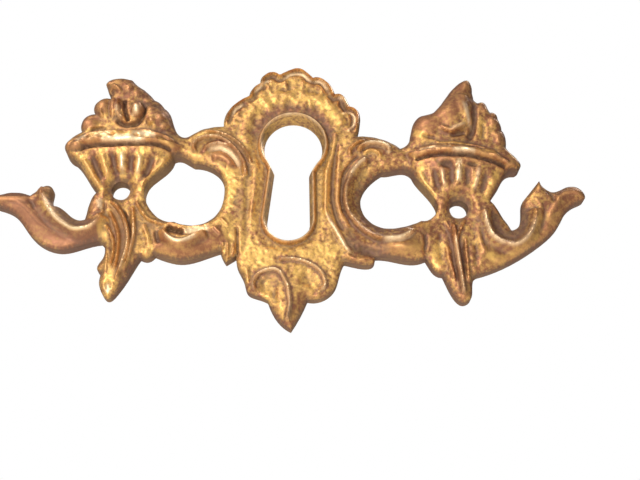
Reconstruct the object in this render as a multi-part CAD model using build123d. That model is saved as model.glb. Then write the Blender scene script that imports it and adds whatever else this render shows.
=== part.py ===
from build123d import *
from math import atan, degrees
import os

# A Rococo keyhole plate (escutcheon): one brass casting, pinned to a drawer or cupboard door.
# Millimetres. X runs along the plate and Z up, as it hangs. The flat back lies on the plane y = 0,
# the relief stands towards -Y, and the origin is halfway between the two pin holes.

# Driving dimensions
pin_spacing = 45.0          # between the centres of the two pin holes
pin_hole_radius = 1.25
ground_thick = 2.0          # the plate between its ridges
collar_thick = 3.2          # rim round the keyhole
keyhole_head_radius = 3.9   # at the back face
keyhole_head_height = 8.0   # centre of the head above the pin holes
keyhole_draft = 0.6         # how much wider the hole is at the front of its rim
collar_width = 1.5
bowl_rim_height = 6.9       # the urns' thick lips, above the pin holes
bowl_rim_reach = 6.0        # how far the lips stand out from the back

# Outline of the plate, clockwise from the left arm. Each stretch is smooth and ends at the first
# point of the next one, so the plate has a corner there. Points are (x, z).
ARM_LEFT_HORN = [(-34.5, -1.15), (-33.7, -0.2), (-32.35, 0.62), (-31.6, -0.1), (-31.6, -1.6)]
ARM_LEFT_BAY = [(-31.3, -2.25), (-30.2, -2.6), (-28.6, -3.85)]
LEAF_LEFT_SHOULDER = [(-26.85, -4.15), (-26.55, -2.3), (-25.95, -0.7)]
URN_LEFT_SIDE = [(-25.55, -0.25), (-26.85, 1.2), (-28.4, 3.3)]
URN_LEFT_RIM_END = [(-29.05, 3.9), (-30.2, 4.8), (-30.5, 5.6), (-29.9, 6.8)]
FLAME_LEFT_STEP_1 = [(-28.5, 7.95), (-28.65, 9.3), (-28.3, 10.05)]
FLAME_LEFT_STEP_2 = [(-27.0, 10.65), (-27.1, 12.2), (-26.4, 12.95)]
FLAME_LEFT_STEP_3 = [(-25.2, 13.15), (-25.05, 13.6)]
FLAME_LEFT_TIP = [(-24.5, 13.9), (-25.6, 14.55), (-26.05, 15.4), (-25.2, 16.15), (-23.6, 16.35)]
FLAME_LEFT_FLANK_1 = [(-22.6, 16.2), (-21.6, 15.3)]
FLAME_LEFT_FLANK_2 = [(-20.8, 14.85), (-19.9, 14.1)]
FLAME_LEFT_FLANK_3 = [(-19.2, 13.35), (-18.6, 12.5)]
FLAME_LEFT_FLANK_4 = [(-17.95, 12.25), (-16.8, 11.1), (-16.1, 9.3)]
SCROLL_LEFT_TOP = [(-15.75, 8.7), (-14.8, 8.2), (-13.0, 9.3), (-11.4, 10.0)]
CREST_SCALLOP_1 = [(-9.6, 10.3), (-9.5, 11.9), (-8.1, 14.05)]
CREST_SCALLOP_2 = [(-6.5, 15.1), (-6.05, 16.35)]
CREST_SCALLOP_3 = [(-5.1, 17.15), (-4.7, 18.4), (-3.6, 18.95)]
CREST_SCALLOP_4 = [(-2.45, 18.65), (-1.0, 19.5), (0.5, 19.7), (1.5, 19.05)]
CREST_SCALLOP_5 = [(2.15, 18.45), (3.1, 18.5), (4.45, 17.6)]
CREST_SCALLOP_6 = [(5.25, 16.1), (6.3, 16.05), (7.05, 15.0)]
CREST_SCALLOP_7 = [(7.4, 14.3), (8.4, 13.9), (8.9, 12.2)]
SCROLL_RIGHT_TOP = [(8.5, 9.9), (10.9, 9.9), (12.85, 9.35)]
FLAME_RIGHT_SHOULDER = [(14.45, 8.4), (15.6, 9.3), (15.9, 11.2), (17.15, 13.15), (18.5, 13.6)]
FLAME_RIGHT_PEAK = [(19.05, 14.05), (20.35, 15.95), (22.0, 18.2), (23.4, 18.95), (24.0, 17.8),
                    (24.2, 16.1)]
FLAME_RIGHT_STEP_1 = [(24.85, 15.6), (25.8, 15.6), (26.25, 14.8)]
FLAME_RIGHT_STEP_2 = [(26.5, 14.3), (27.3, 14.15), (27.65, 12.85)]
FLAME_RIGHT_STEP_3 = [(28.3, 11.55), (28.7, 10.3)]
URN_RIGHT_RIM_END = [(28.7, 9.2), (29.95, 7.85), (30.7, 6.6)]
URN_RIGHT_SIDE = [(30.1, 5.9), (28.8, 5.45), (27.9, 3.8), (27.05, 2.35)]
LEAF_RIGHT_SHOULDER = [(26.6, 1.2), (27.7, 0.3), (28.9, -1.0)]
ARM_RIGHT_BAY = [(29.7, -2.2), (30.6, -1.65), (31.0, -0.3), (31.0, 1.1)]
ARM_RIGHT_HORN = [(31.1, 1.8), (32.2, 3.3)]
ARM_RIGHT_END = [(33.3, 4.85), (34.1, 3.75), (35.2, 3.35), (36.6, 4.0), (37.95, 4.35), (39.2, 3.65),
                 (39.45, 2.8), (38.2, 1.85), (36.7, 0.35), (35.85, -1.4), (33.9, -3.65),
                 (31.0, -5.95), (28.3, -7.6)]
LEAF_RIGHT_TIP = [(25.1, -8.95), (24.45, -11.0), (24.15, -12.4), (23.4, -12.8), (22.0, -11.75),
                  (21.1, -10.1)]
LEAF_RIGHT_LOBE = [(20.6, -9.1), (19.6, -8.8), (18.85, -7.9)]
SCROLL_RIGHT_FOOT = [(18.3, -7.05), (15.8, -7.55), (13.0, -7.15)]
SCROLL_RIGHT_STEP = [(11.6, -7.2), (11.4, -8.2), (10.3, -8.5)]
TAIL_RIGHT = [(7.6, -8.15), (7.1, -9.8), (6.5, -11.9), (5.1, -13.2)]
TAIL_POINT_RIGHT = [(3.1, -13.5), (2.1, -16.0)]
TAIL_POINT_LEFT = [(1.2, -17.7), (-0.3, -16.7), (-1.6, -14.85)]
TAIL_LEFT = [(-2.0, -13.95), (-3.3, -13.5), (-4.6, -13.0), (-5.3, -11.3), (-6.2, -9.7)]
TAB_LEFT = [(-6.5, -8.15)]
TAB_POINT = [(-7.8, -9.1), (-8.4, -8.2)]
SWAG_LEFT = [(-8.7, -7.5), (-11.0, -8.5), (-13.65, -9.25), (-16.0, -8.9)]
LEAF_LEFT_LOBE = [(-17.2, -8.5), (-18.2, -9.2)]
LEAF_LEFT_TIP = [(-19.05, -9.0), (-20.2, -11.35), (-21.5, -13.75), (-22.7, -14.9), (-23.65, -13.9),
                 (-24.05, -12.4)]
LEAF_LEFT_NOTCH = [(-23.9, -11.5), (-24.5, -10.7), (-23.9, -9.5), (-23.7, -8.4)]
ARM_LEFT_END = [(-24.4, -7.15), (-26.5, -7.75), (-29.4, -8.65), (-32.1, -8.0), (-34.2, -6.2),
                (-36.0, -4.1), (-38.4, -3.1), (-40.3, -2.35), (-39.1, -1.6), (-36.4, -0.9)]

OUTLINE = [
    ARM_LEFT_HORN, ARM_LEFT_BAY, LEAF_LEFT_SHOULDER, URN_LEFT_SIDE, URN_LEFT_RIM_END,
    FLAME_LEFT_STEP_1, FLAME_LEFT_STEP_2, FLAME_LEFT_STEP_3, FLAME_LEFT_TIP,
    FLAME_LEFT_FLANK_1, FLAME_LEFT_FLANK_2, FLAME_LEFT_FLANK_3, FLAME_LEFT_FLANK_4,
    SCROLL_LEFT_TOP, CREST_SCALLOP_1, CREST_SCALLOP_2, CREST_SCALLOP_3, CREST_SCALLOP_4,
    CREST_SCALLOP_5, CREST_SCALLOP_6, CREST_SCALLOP_7, SCROLL_RIGHT_TOP, FLAME_RIGHT_SHOULDER,
    FLAME_RIGHT_PEAK, FLAME_RIGHT_STEP_1, FLAME_RIGHT_STEP_2, FLAME_RIGHT_STEP_3,
    URN_RIGHT_RIM_END, URN_RIGHT_SIDE, LEAF_RIGHT_SHOULDER, ARM_RIGHT_BAY, ARM_RIGHT_HORN,
    ARM_RIGHT_END, LEAF_RIGHT_TIP, LEAF_RIGHT_LOBE, SCROLL_RIGHT_FOOT, SCROLL_RIGHT_STEP,
    TAIL_RIGHT, TAIL_POINT_RIGHT, TAIL_POINT_LEFT, TAIL_LEFT, TAB_LEFT, TAB_POINT, SWAG_LEFT,
    LEAF_LEFT_LOBE, LEAF_LEFT_TIP, LEAF_LEFT_NOTCH, ARM_LEFT_END,
]

# The two windows between the urns and the keyhole panel.
WINDOW_LEFT = [
    [(-15.9, 5.2), (-15.0, 5.4), (-14.2, 5.1)],
    [(-13.1, 4.5), (-11.2, 4.25), (-9.4, 3.0), (-8.75, 0.4), (-9.4, -2.3), (-11.3, -3.9),
     (-13.6, -4.2)],
    [(-15.1, -3.85), (-17.0, -3.55), (-18.4, -2.3), (-19.3, -0.4), (-19.1, 0.9), (-17.6, 2.7)],
]
WINDOW_RIGHT = [
    [(12.1, 4.85), (13.6, 5.1), (15.1, 5.35)],
    [(16.2, 4.75), (17.4, 3.1), (19.2, 1.0), (19.65, -0.3), (18.9, -1.45)],
    [(17.6, -1.85), (15.3, -2.8), (13.4, -3.05), (11.3, -2.5), (9.7, -0.75), (9.45, 1.2),
     (10.6, 3.5)],
]

# Keyhole at the back face, below the round head. Points are on its right; the left mirrors them.
keyhole_shoulder = (2.95, 5.35)
keyhole_neck = (2.35, 4.2)
keyhole_foot = (2.85, -2.9)
keyhole_bottom = -5.6

# Ridges: a start, one bowed side, the other bowed side, an end, and the reach from the back.
RIDGES = [
    # arms: the rolled lips inside the two hooks
    ((-33.3, -0.6), [(-31.6, -3.7), (-29.0, -6.3)], [(-31.2, -3.2), (-28.8, -5.2)], (-24.9, -4.6), 2.7),
    ((26.1, -0.5), [(27.2, -4.2), (31.4, -4.2)], [(27.6, -3.6), (31.0, -3.4)], (32.7, 1.2), 2.7),
    # leaves: their midribs
    ((-22.9, -1.8), [(-20.9, -6.0), (-21.0, -10.4)], [(-22.2, -6.2), (-22.4, -10.2)], (-22.8, -13.6), 3.1),
    ((22.4, -1.9), [(23.1, -5.2), (23.5, -8.8)], [(21.9, -5.2), (22.3, -9.0)], (23.3, -11.9), 3.1),
    # C-scrolls
    ((-13.3, 6.1), [(-12.6, 8.8), (-8.0, 8.1)], [(-12.0, 7.9), (-8.7, 7.0)], (-5.9, 2.4), 3.1),
    ((9.9, 6.6), [(6.9, 1.0), (12.0, -5.1)], [(8.2, 0.8), (12.4, -4.1)], (16.8, -3.3), 3.1),
    ((8.2, 8.2), [(10.4, 9.5), (12.6, 8.8)], [(10.4, 8.6), (12.2, 7.9)], (13.4, 7.0), 2.9),
    # the swag under the left window
    ((-17.6, -5.6), [(-14.4, -6.2), (-11.6, -5.3)], [(-14.0, -8.4), (-10.6, -7.4)], (-8.6, -6.4), 2.9),
    # tail: the volute, its rib down to the point, and the hook on the right
    ((-4.2, -12.2), [(-3.9, -10.0), (-1.0, -9.6)], [(-3.2, -10.6), (-1.3, -10.4)], (0.7, -15.9), 3.0),
    ((-1.0, -8.3), [(3.2, -8.6), (5.6, -10.8)], [(2.8, -9.3), (4.8, -11.0)], (4.4, -12.3), 2.9),
]

# Rounded bosses: centre (x, z), half sizes along x and z, tilt in degrees, reach from the back.
BOSSES = [
    # fruit and flames above the left urn
    ((-27.2, 8.9), (1.2, 0.9), 0, 4.2),
    ((-25.6, 11.2), (1.2, 1.3), 0, 4.4),
    ((-22.2, 10.9), (1.2, 1.7), 0, 5.2),
    ((-24.0, 14.7), (1.7, 1.2), 8, 4.0),
    ((-19.4, 11.2), (1.9, 2.4), 30, 4.2),
    # flames above the right urn
    ((18.4, 11.0), (2.0, 1.9), 20, 4.4),
    ((22.4, 14.6), (1.7, 3.4), -14, 5.0),
    ((26.4, 11.8), (1.7, 2.6), 12, 4.3),
    # scalloped edge of the crest
    ((-8.0, 12.4), (0.9, 1.2), -35, 2.9),
    ((-5.2, 15.9), (0.8, 0.8), 0, 2.8),
    ((-3.7, 17.8), (0.9, 0.8), 0, 2.8),
    ((0.0, 18.5), (1.9, 0.7), 0, 2.8),
    ((3.5, 17.3), (1.0, 0.7), -25, 2.8),
    ((6.0, 15.0), (0.9, 0.7), -40, 2.8),
    ((7.6, 12.6), (0.9, 1.2), 0, 2.8),
]

# Urns: middle of the lip, its half length, and its tilt in degrees.
URN_LEFT_LIP = ((-22.6, 6.9), 7.2, 2)
URN_RIGHT_LIP = ((22.9, 7.2), 7.1, 1)
bowl_foot = 1.3             # height of the bowl's foot above the pin holes
bowl_foot_half_width = 2.6
bowl_top_half_width = 6.0
bowl_foot_reach = 2.6
bowl_top_reach = 4.4
flute_count = 6
flute_radius = (0.45, 1.0)  # at the foot and under the lip


def outline_face(stretches):
    """A flat face whose edge is smooth along each stretch, with a corner where two meet."""
    edges = []
    for index, points in enumerate(stretches):
        next_start = stretches[(index + 1) % len(stretches)][0]
        if len(points) == 1:
            edges.append(Plane.XZ * Line(points[0], next_start))
        else:
            edges.append(Plane.XZ * Spline(*points, next_start))
    return make_face(edges)


def keyhole_face(wider=0):
    """The keyhole as it is at the back face, or wider all round by some amount."""
    (shoulder_x, shoulder_z), (neck_x, neck_z) = keyhole_shoulder, keyhole_neck
    foot_x, foot_z = keyhole_foot
    shoulder_x += wider
    neck_x += wider
    foot_x += wider
    head_top = (0, keyhole_head_height + keyhole_head_radius + wider)
    bottom = (0, keyhole_bottom - wider)
    edges = [
        ThreePointArc((-shoulder_x, shoulder_z), head_top, (shoulder_x, shoulder_z)),
        Line((shoulder_x, shoulder_z), (neck_x, neck_z)),
        Line((neck_x, neck_z), (foot_x, foot_z)),
        ThreePointArc((foot_x, foot_z), bottom, (-foot_x, foot_z)),
        Line((-foot_x, foot_z), (-neck_x, neck_z)),
        Line((-neck_x, neck_z), (-shoulder_x, shoulder_z)),
    ]
    return make_face([Plane.XZ * edge for edge in edges])


def raised(face, reach):
    """The solid between a flat face on the back plane and the same face that far in front of it."""
    return extrude(face, amount=reach, dir=(0, -1, 0))


def ridge(start, side_a, side_b, end, reach):
    """A flat-topped ridge between two bowed sides that meet at its ends."""
    there = Plane.XZ * Spline(start, *side_a, end)
    back = Plane.XZ * Spline(end, *reversed(side_b), start)
    return raised(make_face([there, back]), reach)


def ellipsoid(centre, half_sizes, tilt, reach):
    """The front half of an ellipsoid that rises from the back face to the given reach."""
    half_x, half_z = half_sizes
    ball = scale(Sphere(1), by=(half_x, reach, half_z))
    cutter = Pos(0, -reach, 0) * Box(4 * half_x, 2 * reach, 4 * half_z)
    dome = Rot(0, -tilt, 0) * (ball & cutter)
    return Pos(centre[0], 0, centre[1]) * dome


def half_bowl(middle_x):
    """The urn's bowl, cut in half by the back face."""
    sections = []
    for height, half_width, reach in (
        (bowl_foot, bowl_foot_half_width, bowl_foot_reach),
        (bowl_rim_height, bowl_top_half_width, bowl_top_reach),
    ):
        sections.append(Plane((middle_x, 0, height)) * Ellipse(half_width, reach))
    bowl = loft(sections)
    front = Pos(middle_x, -10, 0) * Box(40, 20, 40)
    return bowl & front


def flutes(middle_x):
    """Round ribs that fan out over the bowl from its foot to its lip."""
    ribs = []
    length_top = bowl_rim_height - 0.4
    for index in range(flute_count):
        share = (index + 0.5) / flute_count * 2 - 1
        lean = (1 - share * share) ** 0.5
        foot = Vector(middle_x + share * (bowl_foot_half_width - 0.4), -bowl_foot_reach * lean, bowl_foot)
        top = Vector(middle_x + share * (bowl_top_half_width - 0.4), -bowl_top_reach * lean, length_top)
        along = Plane(origin=foot, z_dir=top - foot)
        rib = Cone(*flute_radius, (top - foot).length, align=(Align.CENTER, Align.CENTER, Align.MIN))
        ribs.append(along * rib)
    return ribs


def lip(centre, half_length, tilt):
    """The urn's thick lip: a long ellipsoid across the top of the bowl."""
    return ellipsoid(centre, (half_length, 1.15), tilt, bowl_rim_reach)


def pin_holes():
    """The two holes, as tall cylinders through everything in front of the back face."""
    drill = Rot(90, 0, 0) * Cylinder(pin_hole_radius, 40)
    return [Pos(side * pin_spacing / 2, 0, 0) * drill for side in (-1, 1)]


def keyhole_cutter():
    """The keyhole: straight behind the back face, and widening steadily towards the front."""
    draft_angle = degrees(atan(keyhole_draft / collar_thick))
    widening = extrude(keyhole_face(), amount=collar_thick + 2, dir=(0, -1, 0), taper=-draft_angle)
    behind = extrude(keyhole_face(), amount=2, dir=(0, 1, 0))
    return [widening, behind]


def cast_plate():
    plate = raised(outline_face(OUTLINE), ground_thick)
    relief = [raised(keyhole_face(keyhole_draft + collar_width), collar_thick)]
    relief += [ridge(*values) for values in RIDGES]
    relief += [ellipsoid(*values) for values in BOSSES]
    for centre, half_length, tilt in (URN_LEFT_LIP, URN_RIGHT_LIP):
        relief.append(half_bowl(centre[0]))
        relief += flutes(centre[0])
        relief.append(lip(centre, half_length, tilt))
    plate += relief
    for window in (WINDOW_LEFT, WINDOW_RIGHT):
        plate -= extrude(outline_face(window), amount=20, both=True)
    plate -= keyhole_cutter()
    plate -= pin_holes()
    return plate


os.makedirs("parts", exist_ok=True)
export_step(cast_plate(), "parts/cast_plate.step")
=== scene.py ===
import math
from functools import partial

import bpy
import numpy as np
from mathutils import Matrix, Vector
from mathutils.geometry import delaunay_2d_cdt
from mathutils.kdtree import KDTree


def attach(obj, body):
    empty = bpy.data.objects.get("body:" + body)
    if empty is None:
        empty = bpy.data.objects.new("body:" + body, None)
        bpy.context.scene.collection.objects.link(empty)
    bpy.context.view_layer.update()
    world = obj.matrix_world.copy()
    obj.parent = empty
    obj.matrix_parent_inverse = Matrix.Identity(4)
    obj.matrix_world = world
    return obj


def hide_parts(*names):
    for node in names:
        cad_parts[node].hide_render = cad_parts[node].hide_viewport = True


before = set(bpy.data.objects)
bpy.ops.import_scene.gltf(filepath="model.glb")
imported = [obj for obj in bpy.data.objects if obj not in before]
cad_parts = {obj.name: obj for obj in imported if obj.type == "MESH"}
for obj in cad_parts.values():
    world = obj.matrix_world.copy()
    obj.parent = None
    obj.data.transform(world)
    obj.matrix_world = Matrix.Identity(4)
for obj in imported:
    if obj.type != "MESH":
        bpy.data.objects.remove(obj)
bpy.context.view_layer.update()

# A cast brass keyhole plate. The flat back lies on y = 0 and the relief stands towards -Y.
# Everything below is worked out in millimetres on the (x, z) plane, as heights above the back,
# and becomes a mesh in metres at the end.
MM = 0.001
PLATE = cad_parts["cast_plate"]
HOLE_X = 22.5               # the pin holes, either side of the middle
smallest_window = 20        # square mm; the pin holes are smaller

grid_step = 0.155           # between the points of the front's triangles
edge_step = 0.155           # between the points along an outline
back_step = 1.4             # between the points of the flat back
search_step = 0.05          # between the points that distances to an outline are measured from
edge_rings = (0.05, 0.12, 0.22, 0.34)                     # extra rows of points beside an outline
keyhole_rings = tuple(0.1 * ring for ring in range(1, 14))  # and round the keyhole's steep sides
row_gap = 0.08              # between the last of those rows and the even field

random = np.random.default_rng(7)


# ---- outlines of the CAD plate
def back_loops(mesh):
    """The closed outlines of the plate's back face, in mm, the largest first."""
    corner_ids = {}
    places = []
    uses = {}
    for polygon in mesh.polygons:
        corners = [mesh.vertices[index].co for index in polygon.vertices]
        if max(abs(corner.y) for corner in corners) > 1e-6:
            continue
        ids = []
        for corner in corners:
            key = (round(corner.x * 1e7), round(corner.z * 1e7))
            if key not in corner_ids:
                corner_ids[key] = len(places)
                places.append((corner.x / MM, corner.z / MM))
            ids.append(corner_ids[key])
        for start, end in zip(ids, ids[1:] + ids[:1]):
            uses[(start, end)] = uses.get((start, end), 0) + 1
    following = {start: end for start, end in uses if (end, start) not in uses}
    loops = []
    while following:
        start, here = following.popitem()
        loop = [start]
        while here != start:
            loop.append(here)
            here = following.pop(here)
        loops.append(np.array([places[index] for index in loop]))
    return sorted(loops, key=lambda loop: abs(loop_area(loop)), reverse=True)


def loop_area(loop):
    following = np.roll(loop, -1, axis=0)
    return float((loop[:, 0] * following[:, 1] - following[:, 0] * loop[:, 1]).sum()) / 2


def evenly(loop, step):
    """The loop again with its points about one step apart."""
    closed = np.vstack([loop, loop[:1]])
    travelled = np.r_[0, np.cumsum(np.hypot(*np.diff(closed, axis=0).T))]
    count = max(12, round(travelled[-1] / step))
    wanted = np.arange(count) * travelled[-1] / count
    return np.stack([np.interp(wanted, travelled, closed[:, axis]) for axis in (0, 1)], 1)


def inward(loop):
    """Unit vectors at a loop's points that look into the metal, which lies on the loop's left."""
    along = np.roll(loop, -1, axis=0) - np.roll(loop, 1, axis=0)
    along /= np.linalg.norm(along, axis=1, keepdims=True)
    return np.stack([-along[:, 1], along[:, 0]], 1)


def inside(loop, points):
    """Which points lie within the closed loop."""
    x, z = points[:, 0], points[:, 1]
    result = np.zeros(len(points), bool)
    for (ax, az), (bx, bz) in zip(loop, np.roll(loop, -1, axis=0)):
        crosses = (az > z) != (bz > z)
        if az != bz:
            result ^= crosses & (x < (bx - ax) * (z - az) / (bz - az) + ax)
    return result


def tree_along(outlines):
    """A search tree of closely spaced points along some outlines."""
    places = np.vstack([evenly(loop, search_step) for loop in outlines])
    tree = KDTree(len(places))
    for index, (x, z) in enumerate(places):
        tree.insert((x, z, 0), index)
    tree.balance()
    return tree


def distances(tree, points):
    return np.array([tree.find((x, z, 0))[2] for x, z in points])


def sorted_loops():
    """The plate's outlines by name, each with the metal on its left."""
    rough = back_loops(PLATE.data)
    named = {"edge": rough[0]}
    for loop in rough[1:]:
        middle_x = loop[:, 0].mean()
        side = "left" if middle_x < 0 else "right"
        if abs(middle_x) < HOLE_X / 4:
            named["keyhole"] = loop
        elif abs(loop_area(loop)) > smallest_window:
            named["window_" + side] = loop
        else:
            named["pin_" + side] = loop
    for name, loop in named.items():
        if (loop_area(loop) > 0) != (name == "edge"):
            named[name] = loop[::-1]
    return named


fine_loops = sorted_loops()
loops = {name: evenly(loop, edge_step) for name, loop in fine_loops.items()}


def on_metal(places):
    """Which places lie within the plate's edge and outside its holes."""
    result = inside(loops["edge"], places)
    for name, loop in loops.items():
        if name != "edge":
            result &= ~inside(loop, places)
    return result


def field_of(step_x, step_z):
    """An even field of places over the plate's metal, every second row shifted by half a step."""
    low, high = loops["edge"].min(axis=0), loops["edge"].max(axis=0)
    columns = np.arange(low[0], high[0], step_x)
    lines = np.arange(low[1], high[1], step_z)
    field = np.array([(x + (line % 2) * step_x / 2, z) for line, z in enumerate(lines) for x in columns])
    return field[on_metal(field)]


# ---- points of the front face
def front_points():
    """The outline points, rows beside them, and an even field of points between."""
    everything = tree_along(loops.values())
    rows = []
    for name, loop in loops.items():
        for offset in keyhole_rings if name == "keyhole" else edge_rings:
            row = loop + inward(loop) * offset
            rows.append(row[distances(everything, row) > 0.9 * offset])
    rows = np.vstack(rows)
    field = field_of(grid_step, grid_step * math.sqrt(3) / 2)
    field = field[distances(everything, field) > edge_rings[-1] + row_gap]
    field = field[distances(tree_along([loops["keyhole"]]), field) > keyhole_rings[-1] + row_gap]
    field += random.uniform(-0.02, 0.02, field.shape)
    outline = np.vstack(list(loops.values()))
    return outline, np.vstack([rows, field])


def triangles_between(outline, others):
    """Triangles of the plate's face over the outline points followed by the other points."""
    points = np.vstack([outline, others])
    edges = []
    start = 0
    for loop in loops.values():
        count = len(loop)
        edges += [(start + index, start + (index + 1) % count) for index in range(count)]
        start += count
    places, _, faces, origins, *_ = delaunay_2d_cdt([Vector(point) for point in points], edges, [], 0, 1e-7)
    if len(places) != len(points):
        raise RuntimeError("the outlines cross: the triangulation added points")
    order = np.array([origin[0] for origin in origins])
    triangles = order[np.array(faces)]
    return points, triangles[on_metal(points[triangles].mean(axis=1))]


outline_points, other_points = front_points()
points, front_triangles = triangles_between(outline_points, other_points)
X, Z = points[:, 0], points[:, 1]
outer_names = ("edge", "window_left", "window_right")
to_edge = distances(tree_along([fine_loops[name] for name in outer_names]), points)
to_keyhole = distances(tree_along([fine_loops["keyhole"]]), points)


# ---- tools that shape the relief
height = np.zeros(len(points))     # how far each front point stands from the back, in mm
grain = np.ones(len(points))       # 1 where the ground is stippled, 0 where it is smooth
gold = np.full(len(points), 0.55)  # 1 where the gilding is left, 0 where it is worn to brown
dirt_and_shade = np.zeros(len(points))      # 1 where old dirt lies, and where shade is painted into holes, pits and grooves
highlight_and_polish = np.zeros(len(points))      # 1 where a pale highlight is painted on, and where handling has polished the metal pale


bar_foot = 1.5                     # where round bars and lumps start, above the back
line_step = 0.06                   # between the points of a smooth line


# Cross-sections of a ridge: its height at a share t of the way out from its middle to its foot.
def rounded(t):
    return np.cos(np.pi / 2 * t) ** 2


def pointed(t):
    return (1 - t) ** 1.5


def domed(t):
    return np.sqrt(1 - t * t)


def step_up(t):
    t = np.clip(t, 0, 1)
    return t * t * (3 - 2 * t)


def smooth_line(places):
    """A smooth curve through a few given points (Catmull-Rom)."""
    places = np.array(places, float)
    if len(places) == 2:
        places = np.vstack([places[0], places.mean(axis=0), places[1]])
    ends = np.vstack([2 * places[0] - places[1], places, 2 * places[-1] - places[-2]])
    line = []
    for before, start, end, after in zip(ends, ends[1:], ends[2:], ends[3:]):
        count = max(2, int(np.hypot(*(end - start)) / line_step))
        t = np.linspace(0, 1, count, endpoint=False)[:, None]
        line.append(0.5 * (2 * start + (end - before) * t
                           + (2 * before - 5 * start + 4 * end - after) * t ** 2
                           + (3 * start - before - 3 * end + after) * t ** 3))
    line.append(places[-1:])
    return np.vstack(line)


def beside(places, reach):
    """The front points near a line: which they are, how far off, on which side, and how far along."""
    line = smooth_line(places)
    low, high = line.min(axis=0) - reach, line.max(axis=0) + reach
    near = np.flatnonzero((X > low[0]) & (X < high[0]) & (Z > low[1]) & (Z < high[1]))
    gaps = points[near, None, :] - line[None, :, :]
    squares = (gaps ** 2).sum(axis=2)
    best = squares.argmin(axis=1)
    off = np.sqrt(squares[np.arange(len(near)), best])
    keep = off < reach
    near, best, off = near[keep], best[keep], off[keep]
    along = np.gradient(line, axis=0)[best]
    gap = points[near] - line[best]
    on_left = along[:, 0] * gap[:, 1] - along[:, 1] * gap[:, 0] > 0
    travelled = np.r_[0, np.cumsum(np.hypot(*np.diff(line, axis=0).T))]
    return near, off, on_left, travelled[best], travelled[-1]


def ridge(places, rise, left, right=None, shape=rounded, fade=0.8):
    """Adds a ridge, or a groove where rise is below zero, that fades out at both ends."""
    right = left if right is None else right
    near, off, on_left, travelled, length = beside(places, max(left, right))
    t = np.clip(off / np.where(on_left, left, right), 0, 1)
    ends = step_up(travelled / fade) * step_up((length - travelled) / fade) if fade else 1
    height[near] += rise * shape(t) * ends


def roll(places, tops, half_width):
    """A round bar that lies on the plate, its top at given heights from one end to the other."""
    near, off, _, travelled, length = beside(places, half_width)
    top = np.interp(travelled / length, np.linspace(0, 1, len(tops)), tops)
    bar = bar_foot + (top - bar_foot) * domed(np.clip(off / half_width, 0, 1))
    height[near] = smooth_max(height[near], bar, 0.25)


def smooth_max(a, b, blend):
    share = np.clip(0.5 + 0.5 * (a - b) / blend, 0, 1)
    return b + (a - b) * share + blend * share * (1 - share)


def oval(centre, half_x, half_z, tilt):
    """How far out each front point lies in a tilted oval: 0 at its middle and 1 on its edge."""
    turn = math.radians(tilt)
    x, z = X - centre[0], Z - centre[1]
    along = (x * math.cos(turn) + z * math.sin(turn)) / half_x
    across = (z * math.cos(turn) - x * math.sin(turn)) / half_z
    return np.hypot(along, across)


def swell(centre, half_x, half_z, rise, tilt=0):
    """Adds a soft mound, or a hollow where rise is below zero."""
    out = oval(centre, half_x, half_z, tilt)
    height[out < 1] += rise * rounded(out[out < 1])


def dome(centre, half_x, half_z, top, tilt=0, low=bar_foot):
    """A round lump that lies on the plate and stands up to the given height."""
    out = oval(centre, half_x, half_z, tilt)
    within = out < 1
    height[within] = smooth_max(height[within], low + (top - low) * domed(out[within]), 0.2)


def paint(mask, value, places, reach):
    """Brings a mask towards a value along a line, softly over its reach."""
    near, off, *_ = beside(places, reach)
    share = step_up(1.6 * (1 - off / reach))
    mask[near] += (value - mask[near]) * share


gild = partial(paint, gold)
# darkens the metal along a line: old dirt, and painted shade in hollows, pits and under ledges
paint_dirt_and_shade = partial(paint, dirt_and_shade)
stipple = partial(paint, grain)


def add_highlight_and_polish(value, places, reach):
    """Paints a pale highlight along a line, partly polished wear, most on the line itself and less towards
    its ends.
    """
    near, off, _, travelled, length = beside(places, reach)
    along = travelled / length
    share = rounded(off / reach) * np.sqrt(step_up(along / 0.3) * step_up((1 - along) / 0.3))
    highlight_and_polish[near] = np.maximum(highlight_and_polish[near], value * share)


def roughen(places, reach, amount):
    """Makes the metal uneven along a line."""
    near, off, *_ = beside(places, reach)
    height[near] += amount * noise(points[near], 0.9, 31) * step_up(1.6 * (1 - off / reach))


def noise(places, size, seed):
    """Smooth random values between -1 and 1 that change over about the given size, in mm."""
    lattice = np.random.default_rng(seed).uniform(-1, 1, (256, 256))
    scaled = places / size + 128
    cell = np.floor(scaled).astype(int)
    part = scaled - cell
    part = part * part * (3 - 2 * part)
    x, z = cell[:, 0] % 255, cell[:, 1] % 255
    low = lattice[x, z] * (1 - part[:, 0]) + lattice[x + 1, z] * part[:, 0]
    high = lattice[x, z + 1] * (1 - part[:, 0]) + lattice[x + 1, z + 1] * part[:, 0]
    return low * (1 - part[:, 1]) + high * part[:, 1]


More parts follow.
